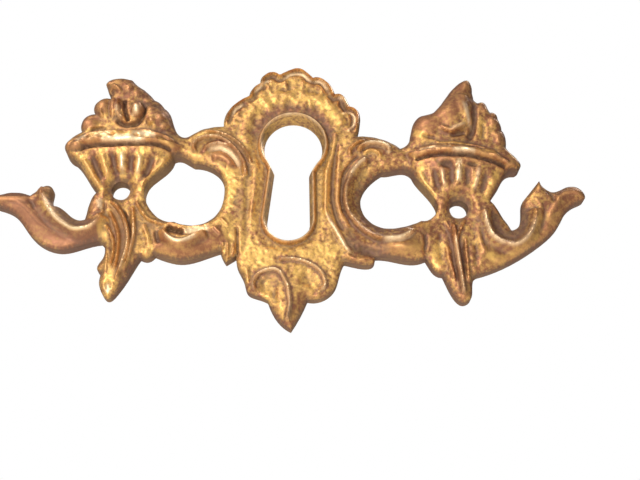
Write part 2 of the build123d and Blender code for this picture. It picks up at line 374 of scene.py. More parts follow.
# ---- the body of the casting
# x, z, height of the outer edge there, how much the body swells above it, and over what distance
# from the edge.
BODY = [
    (-38.5, -2.2, 1.7, 0.5, 0.9),
    (-34.5, -3.2, 1.9, 0.6, 2.2),
    (-31.5, -6, 1.9, 0.6, 2.4),
    (-27, -7, 1.9, 0.6, 1.8),
    (-32, -1.5, 0.9, 0.6, 1.4),
    (-29.5, -3.8, 0.9, 0.6, 1.4),
    (-25.5, -2.4, 1.9, 0.8, 1.2),
    (-22.5, -3.5, 2, 0.3, 1),
    (-21.8, -8.5, 1.7, 0.8, 1.4),
    (-22.6, -13, 1.5, 0.7, 1.4),
    (-18.5, -5, 1.8, 0.2, 0.8),
    (-14, -7.3, 1.8, 1.1, 1.6),
    (-10, -6.2, 1.8, 1, 1.6),
    (-7.5, -7.8, 1.8, 0.3, 0.8),
    (-7.5, 0.5, 1.9, 0.5, 1.2),
    (-8.5, 5.5, 1.9, 0.5, 1.4),
    (-13, 6.6, 2, 0.7, 1.4),
    (-16.5, 6.6, 2.3, 0.6, 1.2),
    (-21, 3.5, 2.8, 0.2, 1),
    (-26.5, 3, 2.9, 0.2, 1),
    (-18, 2.8, 2.8, 0.2, 1),
    (-29.2, 5.5, 2.8, 0.8, 1),
    (-27.5, 9.5, 2.8, 0.5, 1),
    (-25, 12.5, 2.8, 0.5, 1),
    (-24.2, 15, 2.6, 0.6, 1.2),
    (-20.5, 13, 2.4, 0.9, 2),
    (-18, 9.8, 2.6, 0.9, 1.8),
    (-8, 12, 1.9, 0.2, 0.8),
    (0, 17, 1.9, 0.2, 0.8),
    (7.5, 12, 1.9, 0.2, 0.8),
    (0, -8, 2, 0.3, 0.8),
    (-4.5, -11.5, 1.8, 0.3, 0.9),
    (5, -11.5, 1.8, 0.3, 0.9),
    (0.5, -15.5, 1.6, 0.9, 1.8),
    (6.6, 2.5, 2, 0.3, 1.2),
    (9.6, 1, 1.2, 0.3, 1.2),
    (11, -3.2, 1.3, 0.3, 1.2),
    (8, -6.5, 1.9, 0.4, 1.2),
    (10.5, 8.2, 1.9, 0.7, 1.4),
    (14.5, 6.8, 2, 0.7, 1.4),
    (15.5, -5, 1.9, 1.2, 1.9),
    (20, -5.5, 1.8, 0.3, 1.2),
    (22.6, -10, 1.6, 0.7, 1.5),
    (25.5, -4.5, 1.8, 0.7, 1.8),
    (31.5, -4, 1.8, 1, 1.9),
    (29.6, -2.8, 0.9, 0.5, 1.2),
    (31.3, -0.8, 1, 0.5, 1.2),
    (35, 0.5, 1.8, 0.9, 1.8),
    (38, 3, 1.7, 0.6, 1.2),
    (33, 2.5, 1.8, 0.6, 1.2),
    (18, 3.5, 2.8, 0.2, 1),
    (26.8, 3, 2.8, 0.2, 1),
    (29.5, 6.8, 2.5, 1, 1.4),
    (17.5, 11, 2.6, 0.9, 1.6),
    (22.5, 15.5, 2.6, 0.9, 1.8),
    (26.5, 12.5, 2.5, 0.6, 1.4),
]
body_blend = 1.7   # mm over which one place's values give way to the next one's


def body_values():
    """Edge height, swell and reach at each front point, blended between the places of BODY."""
    places, values = np.split(np.array(BODY), [2], axis=1)
    squares = ((points[:, None, :] - places[None, :, :]) ** 2).sum(axis=2)
    weights = np.exp(-(squares - squares.min(axis=1, keepdims=True)) / (2 * body_blend ** 2))
    return (weights @ values / weights.sum(axis=1, keepdims=True)).T


edge_height, body_swell, body_reach = body_values()


def body():
    share = np.clip(to_edge / body_reach, 0, 1)
    height[:] = edge_height + body_swell * share * (2 - share)


# ---- the panel round the keyhole
# mm out from the keyhole's edge to the end of its wall, the rim's top and foot, and the moat's end
RIM_WALL, RIM_TOP, RIM_OUT, MOAT_END = 0.42, 0.5, 0.95, 2.3
wall_foot, rim_height, moat_height = 0.15, 3, 2.05


def keyhole_collar():
    """The steep wall of the keyhole, its thin rim with a painted highlight, and the smooth moat outside it.
    """
    near = to_keyhole < MOAT_END
    out = to_keyhole[near]
    wall = wall_foot + (rim_height - wall_foot) * np.clip(out / RIM_WALL, 0, 1) ** 0.8
    fall = step_up((out - RIM_TOP) / (RIM_OUT - RIM_TOP))
    rim = wall - (rim_height - moat_height) * fall
    outside = step_up((out - RIM_OUT) / (MOAT_END - RIM_OUT))
    height[near] = rim + (height[near] - rim) * outside
    # a painted highlight along the rim's top
    rim_highlight = 0.8 + 0.4 * noise(points[near], 0.5, 24)
    highlight_and_polish[near] = np.maximum(highlight_and_polish[near], rim_highlight * (1 - step_up(np.abs(out - 0.48) / 0.2)))
    # the moat over the round head is painted darker and browner
    over = rounded(np.clip(np.abs(to_keyhole - 1.5) / 1.1, 0, 1)) * step_up((Z - 7.5) / 3)
    dirt_and_shade[:] += (0.6 - dirt_and_shade) * over
    gold[:] -= gold * over


def panel():
    # ridge and hollows left of the slot
    ridge([(-5, 8), (-4.85, 5), (-4.8, 1), (-5.1, -3)], 0.15, 0.6)
    ridge([(-5.75, 5), (-5.65, 1), (-5.5, -3), (-5.4, -6.3), (-5.9, -8)], -0.18, 0.7)
    # the long gold ridge right of the slot, which runs down into the right scroll
    long_ridge = [(5.6, 10.5), (5.3, 8), (4.75, 5), (4.7, 1), (4.9, -1.5), (6.1, -3.6), (7.05, -5.2),
                  (7.8, -6.4), (8.6, -7.1)]
    ridge(long_ridge, 0.42, 0.6, 0.65)
    gild(0.95, long_ridge[:5], 0.6)
    # painted highlight along the ridge's lower part
    add_highlight_and_polish(0.8, long_ridge[4:], 0.45)
    ridge([(5.9, 8.8), (5.6, 4.5), (5.65, 0.5), (6.3, -2), (7.4, -4.2)], -0.35, 0.5)
    ridge([(6.3, 7), (6.3, 4.5), (6.35, 0.8), (7, -1.6), (8.2, -3.8)], 0.2, 0.5)
    paint_dirt_and_shade(0.6, [(5.8, 1.5), (6.1, -0.8), (7, -2.8), (8.4, -4.6)], 0.7)
    # broad shoulder between the moat and the crest
    ridge([(-6.6, 7.6), (-6.4, 11.2), (-4.2, 14.2), (0, 15.4), (4.2, 14.2), (6.6, 11)], 0.3, 1.2)
    gild(0.85, [(-6, 12.4), (-3.6, 14.6), (0, 15.4), (3.6, 14.6), (5.8, 12.4)], 1.3)
    gild(0.95, [(-5.4, -7), (-3.4, -8.3), (0, -8), (3.4, -8.2), (5.4, -6.8)], 1.9)
    gild(0.8, [(3.9, 7), (3.9, 1), (4.2, -3)], 0.9)
    gild(0.8, [(-4.4, 7), (-4.2, 1), (-4.4, -4)], 0.6)


def crest():
    """The thin raised edge along the scallops, and the dents between the grains."""
    above = step_up((Z - 10.2) / 1.2) * step_up((9.6 - np.abs(X)) / 0.6)
    patchy = 0.65 + 0.5 * noise(points, 1.3, 21)
    height[:] += 0.6 * above * rounded(np.clip(np.abs(to_edge - 0.3) / 0.32, 0, 1))
    height[:] -= 0.5 * above * patchy * rounded(np.clip(np.abs(to_edge - 0.95) / 0.6, 0, 1))
    height[:] += 0.18 * above * noise(points, 0.9, 22) * step_up((to_edge - 0.9) / 0.5)
    # painted shade, patchy, in the groove under the raised edge
    dirt_and_shade[:] = np.maximum(dirt_and_shade, 0.7 * above * patchy * rounded(np.clip(np.abs(to_edge - 0.95) / 0.5, 0, 1)))
    # painted highlights on the scallops' tops
    for line in ([(-8.5, 11.8), (-8.2, 12.9), (-7.2, 13.8)],
                 [(-6, 15.4), (-5.2, 16.4), (-4.5, 17.2), (-3.5, 17.6)],
                 [(-2, 17.7), (-1.1, 18.5), (0, 18.8), (1, 18.5), (1.9, 17.6)],
                 [(2.3, 17.7), (3.3, 17.8), (4.4, 16.6)],
                 [(5.7, 15.7), (6.5, 15.2), (7.2, 14)]):
        add_highlight_and_polish(0.9, line, 0.3)
    # the last scallop on the right, a smooth curl
    curl = [(6.2, 12.9), (7.4, 13.3), (8, 12.8), (8, 11.5), (7.2, 10.3)]
    ridge(curl, 0.35, 0.35)
    # painted highlight along the curl
    add_highlight_and_polish(0.7, curl, 0.28)
    for x, z in ((-7.6, 11.6), (-6.2, 13.6), (-3.9, 16.2), (-1.6, 17.2), (0.8, 17.3), (3.4, 16),
                 (5.4, 14.4)):
        lean = math.degrees(math.atan2(z - 8, x))
        swell((x, z), 1.3, 0.5, 0.22, lean)


# ---- the two arms
def left_arm():
    crease = [(-33, 0.4), (-32.8, -1), (-31.9, -2.6), (-30.8, -4.1), (-29.4, -5.2), (-28.1, -5.9),
              (-27, -5.95), (-25.8, -5.6), (-24.8, -4.6), (-24.3, -3.6)]
    ridge(crease, 1.25, 1.1, 1.5, pointed, 0.7)
    ridge([(-39.2, -2.1), (-36.8, -1.9), (-34.6, -1.6), (-33.6, -0.9)], 0.3, 0.5, 0.9)
    ridge([(-34.8, -1.9), (-33.9, -2.5), (-33.4, -3.6)], -0.2, 0.5)
    for line in ([(-37.6, -2.4), (-35.2, -3), (-32.6, -5.4), (-29.4, -7)],
                 [(-36.4, -2), (-34.2, -2.8), (-31.8, -4.9), (-29, -6.4)],
                 [(-35, -2.6), (-33, -4.2), (-30.6, -6.1), (-27.6, -6.9)]):
        ridge(line, -0.04, 0.14)
    along = [(-40, -2.2), (-36, -2.4), (-32.5, -5.6), (-29, -7), (-25.5, -6.4)]
    stipple(0, along, 2.6)
    gild(0, along, 2.8)
    paint_dirt_and_shade(0.32, along, 2.6)
    gild(0.05, [(-33.6, -0.2), (-33.2, -2)], 1.2)
    gild(0.6, crease[2:8], 0.5)
    # painted highlight along the crease's crest, and painted shade on the slope down to the bay
    add_highlight_and_polish(1, crease[1:9], 0.45)
    paint_dirt_and_shade(0.7, [(-32.2, 0.2), (-31.7, -1.6), (-30.5, -3.2), (-28.9, -4.4), (-27, -4.9)], 0.9)


def right_arm():
    crease = [(25.6, 0.1), (25.9, -0.9), (26.3, -2.3), (26.8, -3.5), (27.9, -4.3), (29.25, -4.75),
              (30.3, -4.6), (31.4, -3.65), (32.25, -2.1), (32.6, -0.4), (32.5, 0.8)]
    ridge(crease, 1.3, 1.3, 1.3, pointed, 0.7)
    ridge([(34.2, 3.6), (34.9, 2.6), (35.4, 1.4)], -0.35, 0.6)
    ridge([(39, 3.2), (37.2, 3.2), (35.9, 2.4), (35.1, 0.9), (34.2, -0.6)], 0.25, 0.6)
    ridge([(32.6, 2.2), (33.2, 1.2), (33.3, -0.4), (32.8, -2.2)], 0.2, 0.6)
    ridge([(34.7, -1.6), (32.8, -4), (29.6, -6.2), (27, -7.2)], 0.2, 0.8)
    along = [(38.5, 3.2), (35.5, 0.8), (33.4, -2.6), (30, -5.4), (27, -6.2)]
    stipple(0.25, along, 2.4)
    gild(0.15, along[:4], 2.6)
    gild(0.5, [(33.4, -1), (31.6, -4.6), (28.4, -6.6)], 0.7)
    # painted highlights along the crease
    add_highlight_and_polish(0.8, crease[:6], 0.6)
    add_highlight_and_polish(0.6, crease[4:10], 0.5)
    paint_dirt_and_shade(0.8, [(27.3, -0.3), (27.9, -2.4), (29.6, -3.2), (30.7, -2.4), (31.3, 0.2)], 1)


# ---- the leaves under the urns
def left_leaf():
    rib = [(-23.8, -1.6), (-22.7, -2.4), (-21.6, -4), (-20.9, -6), (-20.75, -8), (-21.05, -9.8),
           (-21.45, -11.5), (-21.8, -12.8)]
    border = [(-20.7, -2), (-20.3, -4.1), (-20.1, -6.1), (-20.25, -8.1), (-20.55, -10), (-21, -11.6)]
    ridge(rib, 0.9, 0.42)
    ridge(border, 0.6, 0.3, 0.6)
    ridge([(-23.8, -3), (-22.8, -4.5), (-22.1, -6.3), (-21.9, -8.1), (-21.95, -9.7), (-22.2, -11.2)],
          0.6, 0.36)
    ridge([(-24, -4.9), (-23.1, -6.2), (-22.6, -7.6), (-22.5, -9.3), (-22.8, -11)], 0.45, 0.34)
    ridge([(-24, -7.4), (-23.5, -8.8), (-23.2, -10.2), (-23.4, -12.2)], 0.3, 0.35)
    ridge([(-22.9, -12.2), (-22.8, -13.1), (-22.6, -14.1)], -0.4, 0.6)
    ridge([(-21.9, -2.6), (-21.1, -4.2), (-20.55, -6.2), (-20.5, -8.2), (-20.85, -10.4)], -0.35, 0.3)
    dome((-25.3, -2.4), 1.2, 1.6, 2.9, -15, 1.4)
    ridge([(-26.6, -4.1), (-25.6, -4.2), (-24.6, -3.5), (-24.1, -2.6)], 0.3, 0.35)
    ridge([(-24.4, -1.6), (-24.2, -2.6), (-24.4, -3.6)], -0.35, 0.35)
    # ridge along the window, and the rough ground beside it
    ridge([(-20.3, -1.2), (-20, -1.9), (-18.7, -3.6), (-17.4, -4.2), (-16.3, -4.6)], 0.5, 0.4)
    ridge([(-19.3, -4.3), (-18.4, -6), (-17.9, -8)], 0.25, 0.6)
    stipple(0.1, [(-22.4, -3.5), (-21.4, -7), (-21.9, -11)], 1.6)
    gild(0.45, [(-22.8, -3), (-21.5, -7), (-21.9, -11.5)], 1.5)
    gild(0.15, [(-25.4, -1.4), (-25.4, -3.4)], 1.2)
    # painted highlights on the lobe, the ridges and the leaf's tip
    add_highlight_and_polish(0.6, [(-25.2, -1.4), (-24.9, -2.2), (-24.8, -3)], 0.6)
    add_highlight_and_polish(0.7, rib[2:7], 0.36)
    add_highlight_and_polish(0.5, border[1:5], 0.3)
    gild(1, [(-22.8, -12.6), (-22.6, -14)], 1)
    add_highlight_and_polish(0.9, [(-22.8, -12.9), (-22.65, -14.3)], 0.55)
    gild(0.95, [(-24.2, -5.4), (-24, -7)], 0.9)
    gild(0.8, [(-19.3, -3.4), (-18.6, -6), (-18.3, -8)], 1.2)
    paint_dirt_and_shade(0.6, [(-19.6, -4.6), (-18.2, -4.9), (-17.2, -6.2)], 0.7)
    gild(0.2, [(-19.2, -9), (-20.6, -12), (-21.8, -14.6)], 0.7)


def right_leaf():
    rib = [(21.6, -2), (22, -4), (22.3, -6), (22.55, -7.6), (22.8, -9), (23.3, -11.8)]
    ridge(rib, 1, 0.5)
    ridge([(23.4, -1.2), (22.9, -2.4), (22.5, -3.6), (22.25, -4.8)], 0.45, 0.32)
    ridge([(20.6, -1.6), (21.2, -2.8), (21.7, -4.2), (21.9, -5.4)], 0.3, 0.32)
    ridge([(20.9, -5), (21.3, -7.4), (22.1, -10)], 0.35, 0.4)
    ridge([(23.3, -3.8), (23.5, -6), (23.8, -8.6), (24, -10.4)], 0.35, 0.35)
    ridge([(21.7, -5.4), (22, -8), (22.5, -10.4)], -0.25, 0.35)
    ridge([(22.85, -4.8), (23, -7), (23.35, -9.6)], -0.25, 0.3)
    ridge([(24.7, -4.4), (24.9, -6.4), (24.8, -8.2)], -0.25, 0.6)
    ridge([(25, -1.6), (25.2, -4.2), (26.2, -6.4)], 0.25, 0.6)
    ridge([(20.2, -3.2), (20, -5.4), (20.6, -7.6)], -0.2, 0.7)
    gild(0.1, [(21.6, -2.4), (22.2, -6), (22.8, -10)], 1.3)
    gild(1, [(20, -5.4), (19.8, -7.6)], 1)
    gild(0.6, [(25, -3.6), (25.2, -5.8)], 0.6)
    paint_dirt_and_shade(0.35, [(24.8, -1.8), (25.6, -4.6)], 1)
    gild(0.9, [(26.6, -6.4), (28.2, -7)], 0.8)
    gild(0.15, [(21.6, -9.5), (22.6, -12.5), (23.2, -14.5)], 1.4)
    # painted highlights along the midrib
    add_highlight_and_polish(0.9, rib[1:5], 0.45)
    add_highlight_and_polish(0.5, rib[3:], 0.35)
    stipple(0.3, [(22.6, -5.5), (23.2, -11.5)], 1.1)


# ---- swags and scrolls
def left_swag():
    """The rolled leaf under the left window: a lip with a painted highlight over a smooth round tube."""
    ridge([(-17.2, -4.5), (-15.4, -4.25), (-13.6, -4.5), (-11.6, -4.4), (-9.8, -4)], 0.35, 0.3, 0.35)
    ridge([(-16, -4.8), (-15, -5.1), (-14.1, -5.3), (-13.5, -5.3)], -1.2, 0.4, 0.9, fade=0.5)
    ridge([(-14.2, -5.9), (-13, -5.75), (-11.8, -5.35), (-10.6, -4.95)], -0.45, 1.1, 0.25, pointed, 0.5)
    lip = [(-16.4, -5), (-15.95, -5.9), (-15.3, -6.55), (-14.2, -6.95), (-13.1, -6.7), (-11.8, -5.9),
           (-10.6, -5.2)]
    ridge(lip, 0.9, 0.5, 1.3, fade=0.6)
    swell((-14, -7.9), 3.4, 1.4, 0.3, 5)
    ridge([(-17.3, -5.2), (-17, -6.4), (-16.6, -7.4)], -0.45, 0.5)
    tube = [(-16.2, -7.2), (-13.5, -7.8), (-11, -7), (-9.2, -5.8)]
    stipple(0, tube, 1.6)
    gild(0.12, tube, 1.7)
    # painted shade in the pit under the window; painted highlights on the wall beside it and along the lip
    paint_dirt_and_shade(1, [(-15.5, -4.9), (-14.6, -5.4), (-13.9, -5.6)], 0.75)
    add_highlight_and_polish(1, [(-13.8, -5.4), (-12.6, -5.15), (-11.4, -4.95), (-10.2, -4.8)], 0.7)
    add_highlight_and_polish(1, lip[1:6], 0.55)


def left_tab():
    for x in (-8.4, -7.7, -7):
        ridge([(x, -6.4), (x + 0.1, -8.8)], 0.25, 0.25, fade=0.5)
    ridge([(-6.7, -4.2), (-6.5, -6.2), (-6.3, -8.6)], -0.4, 0.35)


def left_scroll():
    outer = [(-12.9, 5.6), (-13.3, 6.7), (-12.8, 7.7), (-11.5, 8.25), (-10.2, 8.3), (-8.8, 7.7), (-7.6, 6.5),
             (-6.5, 4.9), (-5.85, 2.8)]
    second = [(-12.4, 9), (-10.9, 9.2), (-9.1, 8.8), (-7.4, 7.7), (-6.2, 6.3), (-5.4, 4.6)]
    ridge(outer, 0.8, 0.32, 0.36)
    ridge(second, 0.5, 0.3)
    # painted highlights along both ridges
    add_highlight_and_polish(0.6, outer, 0.32)
    add_highlight_and_polish(0.4, second, 0.3)
    # brown lip over a hollow wall with a painted highlight, painted shade at the hollow's foot, and the
    # smooth tube below it
    lip = [(-12.1, 6), (-11.3, 7), (-9.9, 7.5), (-8.3, 7), (-7.1, 5.8), (-6.5, 4.2), (-6.2, 2.6)]
    wall = [(-11.5, 6.2), (-10.4, 6.95), (-9.5, 7), (-8.5, 6.45), (-7.5, 5.4), (-6.8, 4)]
    ridge(lip, 0.5, 0.4)
    ridge([(-11.2, 6), (-10.3, 6.5), (-9.5, 6.5), (-8.6, 6), (-7.7, 5), (-7.1, 3.9)],
          -0.6, 1.2, 0.3, pointed, 1)
    ridge([(-11, 5.3), (-9.7, 5.6), (-8.7, 5.1), (-7.9, 4.1)], 0.55, 0.85, 1)
    gild(0, lip[:5], 0.6)
    gild(0.15, [(-11.2, 5.2), (-9.7, 5.5), (-8.6, 5), (-8, 4.2)], 0.8)
    stipple(0, [(-11, 5.6), (-8.6, 5.4), (-7.4, 3.8)], 1.2)
    add_highlight_and_polish(1, wall, 0.55)
    add_highlight_and_polish(1, wall[:4], 0.7)
    paint_dirt_and_shade(0.45, [(-10.8, 5.8), (-9.6, 6), (-8.6, 5.4), (-7.7, 4.3)], 0.5)
    for index in range(8):
        z = 3.4 - 0.75 * index
        inner = -8.7 + 0.1 * abs(index - 3)
        ridge([(inner, z), (inner + 1.5 + 0.5 * math.sin(2.4 * index), z - 0.5)], 0.13, 0.36)
    for x, z in ((-9, -3.2), (-9.9, -4.4)):
        ridge([(x, z), (x + 1.3, z - 1.2)], 0.25, 0.35, fade=0.4)
    stipple(0.3, [(-13, 5.6), (-12.4, 8.6), (-10, 9.2)], 1)
    gild(1, [(-8.4, 3.2), (-7.9, 1), (-8, -1)], 1.2)
    paint_dirt_and_shade(0.6, [(-6.6, 0.8), (-6.9, -1.2), (-6.4, -2.6)], 0.8)
    gild(0.9, [(-8.2, -4), (-7.4, -5.8)], 1)


def right_scroll():
    curl = [(8.6, 7.2), (9.2, 8), (10.1, 8.5), (11.4, 8.65), (12.6, 8.2), (13.1, 7.3)]
    ridge(curl, 1, 0.5)
    # painted highlight along the curl
    add_highlight_and_polish(1, curl[1:], 0.55)
    ridge([(7.6, 6.4), (7.7, 7.6), (8.5, 8.6), (9.8, 9.3)], 0.5, 0.4)
    ridge([(9.3, 7), (10.4, 7.6), (11.4, 7.3), (12, 6.3)], 0.5, 0.4)
    gild(1, [(9.8, 7.2), (11, 7.5), (11.8, 6.8)], 0.6)
    inner = [(10.4, 6.2), (9.6, 6.1), (8.8, 5.4), (8.1, 4.4), (7.65, 3.1), (7.4, 2), (7.4, 0.5),
             (7.75, -0.95), (8.6, -2.3), (9.8, -3.6), (11.15, -4.45), (12.2, -4.85), (13.3, -5),
             (14.6, -5), (15.7, -4.5), (16.7, -3.4)]
    ridge(inner, 1.15, 1.5, 0.45, pointed)
    gild(0.2, inner, 0.8)
    # painted highlights along the inner ridge
    add_highlight_and_polish(0.55, inner[3:12], 0.3)
    add_highlight_and_polish(0.9, inner[:5], 0.5)
    add_highlight_and_polish(1, inner[11:], 0.55)
    ridge([(9.2, 7), (8, 5.9), (7.1, 4.3), (6.8, 2.4), (6.8, 0.4), (7.3, -1.6)], -0.35, 0.4)
    gild(0.95, [(9.8, 4.4), (9, 2.8)], 0.7)
    swell((15.2, -5.9), 2.6, 1.5, 0.35, 0)
    swell((10.4, -6.6), 2.4, 1.2, -0.6, -10)
    ridge([(7.4, -7.2), (9, -7.9), (10.8, -7.9)], 0.3, 0.5)
    ridge([(18, -3.6), (18.2, -5.2), (17.9, -6.6)], -0.35, 0.5)
    paint_dirt_and_shade(1, [(8.4, -5.6), (10.2, -6.4), (12.6, -6.6)], 1.3)
    paint_dirt_and_shade(0.5, [(9.6, 3), (9.2, 0.8), (10.2, -1.8), (12.2, -3.4)], 0.8)
    tube = [(13.8, -6.2), (16.5, -5.6)]
    stipple(0.05, tube, 1.7)
    gild(0.3, tube, 1.7)
    paint_dirt_and_shade(0.5, [(17.8, -3.6), (18.4, -5.4)], 0.8)


# ---- the tail
def tail():
    left_curl = [(-3.85, -12.9), (-4.05, -11.8), (-3.6, -10.8), (-2.8, -10.2), (-1.6, -9.9), (-0.7, -10.2),
                 (-0.1, -11), (0.4, -12), (0.67, -13.2), (0.85, -14.5), (0.8, -15.7), (0.55, -16.8)]
    right_curl = [(-1.05, -8.5), (0.3, -8.35), (1.55, -8.4), (2.8, -8.7), (3.9, -9.2), (4.7, -9.9),
                  (5.1, -10.65), (5.3, -11.4), (5.1, -12), (4.4, -12.3)]
    ridge(left_curl, 0.85, 0.32, 0.42, fade=0.5)
    ridge(right_curl, 0.7, 0.32, 0.4, fade=0.5)
    # the curls get painted highlights along their crests
    for line in (left_curl, right_curl):
        gild(0.15, line, 0.8)
        add_highlight_and_polish(1, line, 0.4)
    swell((-1.9, -12.3), 1.9, 1.9, -0.5)
    swell((3.1, -10.9), 1.7, 1.5, -0.45, -25)
    ridge([(-1.4, -12.4), (-1.2, -13.6), (-0.8, -14.8)], -0.35, 0.7)
    ridge([(-5.2, -9.6), (-4.9, -10.8), (-4.9, -12.2)], 0.3, 0.5)
    gild(1, [(-2.4, -12), (-1.5, -13.8)], 1)
    gild(1, [(1.8, -9.9), (3.6, -11.2)], 1.2)
    gild(0.15, [(-4.6, -12.6), (-2.4, -14.6), (-0.4, -16.8)], 0.8)
    gild(0.2, [(2.6, -13.2), (1.8, -15.2), (0.8, -17.2)], 0.9)
    stipple(0.4, [(2.6, -13.2), (1.6, -15.6)], 1.4)
    # painted shade inside the left curl
    paint_dirt_and_shade(0.5, [(-3, -11.6), (-2.2, -10.9), (-1.2, -10.9), (-0.6, -12)], 0.5)


# ---- the urns
def bowl(middle_x, foot_z, lip_z, foot_half, lip_half, foot_top, lip_top):
    """A bowl seen from the front, cut in half by the plate. It widens from its foot to its lip."""
    share = (Z - foot_z) / (lip_z - foot_z)
    half = foot_half + (lip_half - foot_half) * np.clip(share, -0.1, 1.2)
    out = np.abs(X - middle_x) / half
    within = (out < 1) & (share > -0.5) & (share < 1.15)
    top = foot_top + (lip_top - foot_top) * np.clip(share[within], 0, 1)
    clear = step_up((np.hypot(X[within] - middle_x, Z[within]) - 1.2) / 1.6)
    bulge = (top - 2) * domed(out[within]) * clear * step_up((share[within] + 0.5) / 0.4)
    height[within] = smooth_max(height[within], 2.0 + bulge, 0.2)


def gadroons(ribs, grooves, depth):
    """Gilded ribs down a bowl, their gold standing for their lit faces, and the grooves between them
    darkened as painted shade.
    """
    for line in grooves:
        ridge(line, -depth, 0.7, fade=0.9)
        gild(0.05, line, 0.75)
        paint_dirt_and_shade(0.3, line, 0.4)
    for line in ribs:
        ridge(line, 0.8 * depth, 0.65, fade=0.9)
        gild(1, line, 0.6)


def left_urn():
    bowl(-22.5, 1.1, 6, 4.6, 7.6, 3, 4.9)
    ribs = [[(-27.9, 4), (-26.9, 2.6), (-25.8, 1), (-25.1, -0.2)],
            [(-25.3, 4.6), (-24.7, 2.8), (-23.9, 1.1)],
            [(-22.55, 4.8), (-22.45, 3.3), (-22.35, 2)],
            [(-20.1, 4.7), (-20.2, 3.2), (-20.4, 1.9)],
            [(-16.4, 4.8), (-17.6, 3), (-18.8, 1.5), (-20, 0.1)]]
    grooves = [[(-26.6, 4.4), (-25.8, 2.7), (-24.9, 0.9)],
               [(-23.9, 4.8), (-23.5, 3.1), (-23.1, 1.8)],
               [(-21.3, 4.8), (-21.3, 3.2), (-21.3, 1.9)],
               [(-18.4, 4.8), (-18.9, 3.1), (-19.6, 1.5)]]
    gadroons(ribs, grooves, 0.45)
    # painted highlights on the middle ribs
    add_highlight_and_polish(0.8, ribs[2], 0.5)
    add_highlight_and_polish(0.6, ribs[3], 0.45)
    # the thick lip, its wavy upper fold and the shadow under it
    lip = [(-29.6, 5.7), (-28.2, 6.2), (-26.2, 6.6), (-24.2, 6.75), (-22.2, 6.9), (-20.2, 7.2), (-18.4, 7.2),
           (-17, 6.9), (-15.6, 6.3)]
    under = [(-29.2, 5), (-27.4, 5.35), (-25.6, 5.5), (-23.6, 5.6), (-21.4, 5.8), (-19.4, 6), (-17.4, 6),
             (-16, 5.6)]
    fold = [(-28, 6.8), (-26.4, 7.3), (-25.1, 7.6), (-24, 7.35), (-22.9, 7.75), (-21.8, 7.7),
            (-20.7, 8.05), (-19.8, 8.05), (-18.4, 7.7), (-17.1, 7.5), (-15.9, 6.9)]
    roll(lip, (3.6, 4.4, 4.9, 5.1, 5.1, 5, 4.6, 4, 3), 1.25)
    ridge([(x, z + 0.7) for x, z in under], 0.3, 0.5, 0.5)
    ridge(fold, 0.5, 0.35, 0.45)
    roughen(lip, 1.2, 0.2)
    ridge(under, -0.7, 0.35, 0.45, fade=0.5)
    swell((-20.8, 7), 0.5, 0.3, -0.6)
    swell((-24, 6.8), 0.6, 0.3, -0.5, 20)
    swell((-26.6, 6.7), 0.9, 0.3, -0.3, 15)
    dome((-28.7, 5.6), 1.5, 1.1, 4.3, 25)
    stipple(0.4, lip, 1.3)
    gild(0.2, lip, 1.4)
    gild(1, [(-26.8, 6.6), (-25, 6.9), (-22.4, 7.1), (-19.2, 7.3)], 0.5)
    # painted highlights on the lip and its fold
    add_highlight_and_polish(1, [(-25.6, 6.2), (-23, 6.4), (-21.4, 6.5), (-19.4, 6.6)], 0.75)
    add_highlight_and_polish(1, [(-21.6, 7.2), (-20, 7.35), (-18.2, 7.2)], 0.6)
    add_highlight_and_polish(0.6, [(-27.2, 6.4), (-25.6, 6.9), (-23.8, 7.1)], 0.6)
    add_highlight_and_polish(0.6, [(-29, 6), (-28.2, 6.4), (-27.4, 6.6)], 0.6)
    gild(0.9, [(-17.4, 6.6), (-16.2, 6.2)], 0.5)
    # painted shadow under the lip
    paint_dirt_and_shade(0.9, under, 0.45)
    # lobes on the left, berry in the middle, worn rough flank on the right
    dome((-27.3, 8.8), 1.5, 1.3, 3.6, -10, 2.4)
    dome((-25.8, 11.1), 1.2, 1.9, 3.8, 12, 2.4)
    dome((-24.6, 11.4), 0.7, 1.9, 3.9, 5, 2.4)
    swell((-22.4, 10.6), 3.6, 3.2, 0.7)
    swell((-18.8, 10.2), 2.6, 2.4, 0.8, -40)
    crescent = [(-23.95, 12.9), (-23.95, 11.8), (-23.8, 10.8), (-23.4, 10), (-22.9, 9.7)]
    moat = [(-24.1, 9.7), (-22.8, 9), (-21.2, 9.2), (-20.4, 10.4), (-20.3, 12.2)]
    gap = [(-23.1, 12.8), (-22.95, 11.4), (-22.6, 10.3), (-22.2, 9.3)]
    ridge(crescent, 0.9, 0.45, 0.45, pointed, 0.4)
    ridge(moat, -0.7, 0.5)
    dome((-21.2, 11.1), 1, 1.4, 5.2, 6, 2.4)
    ridge(gap, -0.9, 0.4, 0.45, fade=0.4)
    ridge([(-26.3, 11.4), (-26.1, 10.6), (-25.8, 9.7)], 0.3, 0.3)
    ridge([(-27.4, 7.8), (-26.4, 8.2), (-25, 8.5)], -0.4, 0.5)
    ridge([(-25.6, 14.9), (-24.8, 14.8), (-24.1, 14.4), (-23.8, 13.8)], 0.5, 0.35, 0.5)
    ridge([(-25.3, 14.2), (-24.7, 13.9)], -0.4, 0.4, fade=0.3)
    lumps = [(-19.4, 11.6, 0.3), (-18, 10.2, 0.35), (-20, 13, 0.3), (-18.8, 12.2, -0.3),
             (-17.2, 9.2, 0.25), (-19.2, 9.6, 0.4), (-21.6, 14, 0.3), (-22.8, 14.9, 0.3)]
    for x, z, rise in lumps:
        swell((x, z), 0.9, 0.7, rise, 40)
    stipple(1, [(-21, 14), (-18.2, 10.6)], 2.4)
    gild(0.15, [(-24.5, 15), (-21.5, 14), (-18.4, 11), (-17.2, 9)], 2.4)
